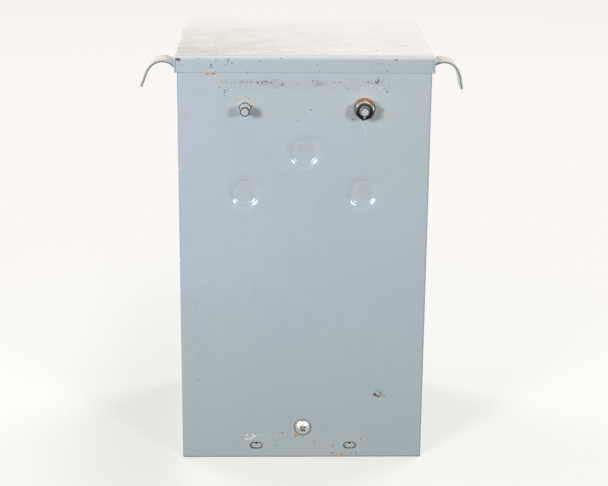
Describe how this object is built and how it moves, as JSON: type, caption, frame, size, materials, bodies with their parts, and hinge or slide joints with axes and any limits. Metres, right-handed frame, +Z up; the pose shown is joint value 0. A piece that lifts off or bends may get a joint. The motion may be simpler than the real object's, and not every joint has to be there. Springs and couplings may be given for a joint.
{
  "type": "general purpose transformer",
  "caption": "Wall-mounted dry-type transformer in a grey sheet steel case with mounting studs, lifting hooks and a screwed wiring cover.",
  "frame": {"origin": "centre of the enclosure's underside", "axes": "+Z up; -Y out of the mounting (wall) side with the studs; +Y out of the wiring compartment's cover"},
  "size_m": [0.2998, 0.2319, 0.4021],
  "materials": {
    "body_paint": "satin grey enamel, worn",
    "lid_paint": "satin grey enamel, dusty and dirt stained",
    "cover_paint": "satin grey enamel",
    "pan_paint": "satin grey enamel",
    "hook_paint": "satin grey enamel, worn",
    "zinc_steel": "zinc plated",
    "rusty_zinc": "zinc plated, rusted at the rim",
    "plain_steel": "primed steel",
    "core_steel": "varnished silicon steel laminations",
    "winding_copper": "enamelled copper",
    "former_board": "pressed insulation board",
    "insulation_paper": "insulation paper",
    "terminal_laminate": "phenolic laminate",
    "terminal_brass": "turned brass",
    "lug_alloy": "tin plated",
    "compound": "silica filled resin, matt"
  },
  "bodies": {
    "root": {"enclosure_wrap": "body_paint", "lid": "lid_paint", "front_panel": "body_paint", "compartment_cover": "cover_paint", "base_pan": "pan_paint", "hook_left": "hook_paint", "hook_right": "hook_paint", "mounting_bolts": "zinc_steel", "flat_washer": "rusty_zinc", "lock_washer": "rusty_zinc", "stud_nut": "zinc_steel", "ground_screw": "zinc_steel", "ground_nut": "zinc_steel", "ground_lug": "lug_alloy", "backing_bar": "plain_steel", "cover_screws": "zinc_steel", "lid_screws": "zinc_steel", "support_rail_left": "plain_steel", "support_rail_right": "plain_steel", "shelf": "pan_paint", "core_e_stack": "core_steel", "core_i_stack": "core_steel", "lower_clamps": "plain_steel", "upper_clamps": "plain_steel", "clamp_bolts": "zinc_steel", "clamp_nuts": "zinc_steel", "coil_former": "former_board", "inner_winding": "winding_copper", "winding_insulation": "insulation_paper", "outer_winding": "winding_copper", "coil_wrap": "insulation_paper", "terminal_board": "terminal_laminate", "board_screws": "zinc_steel", "terminal_bolts": "terminal_brass", "terminal_nuts": "terminal_brass", "lead_bars": "winding_copper", "potting_compound": "compound"}
  },
  "joints": []
}
